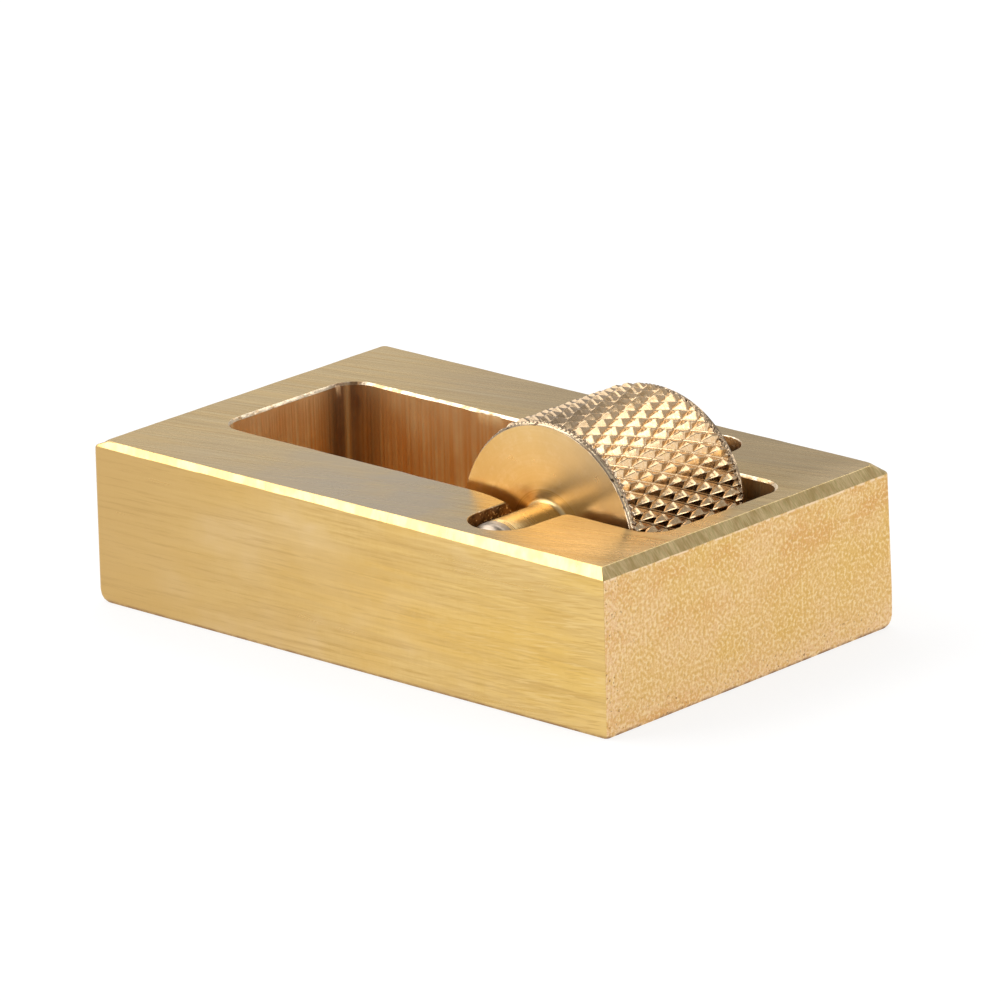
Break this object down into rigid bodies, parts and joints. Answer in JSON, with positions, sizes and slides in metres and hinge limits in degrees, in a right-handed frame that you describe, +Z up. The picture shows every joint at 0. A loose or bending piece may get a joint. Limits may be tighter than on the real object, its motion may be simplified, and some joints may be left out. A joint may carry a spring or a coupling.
{
  "type": "edge paint roller box",
  "caption": "Small brass block with a milled tray in its top and a diamond-knurled roller whose stub axles lie in open round-ended slots across the tray.",
  "frame": {"origin": "centre of the block's flat base", "axes": "+X along the block's length towards the roller's end, +Y along the roller's axle, +Z up out of the tray"},
  "size_m": [0.06, 0.038, 0.0223],
  "materials": {
    "milled_brass": "brushed top and long sides, grainy sawn ends, bare milled pocket walls, filed chamfers",
    "turned_brass": "turned satin faces and axle, sharp bright diamond knurl"
  },
  "bodies": {
    "tray": {"tray_block": "milled_brass"},
    "roller": {"knurled_roller": "turned_brass"}
  },
  "joints": [
    {"name": "roller_spin", "type": "hinge", "parent": "tray", "child": "roller", "pos_m": [0.0137, -0.00025, 0.01215], "axis": [0, 1, 0], "continuous": true}
  ]
}
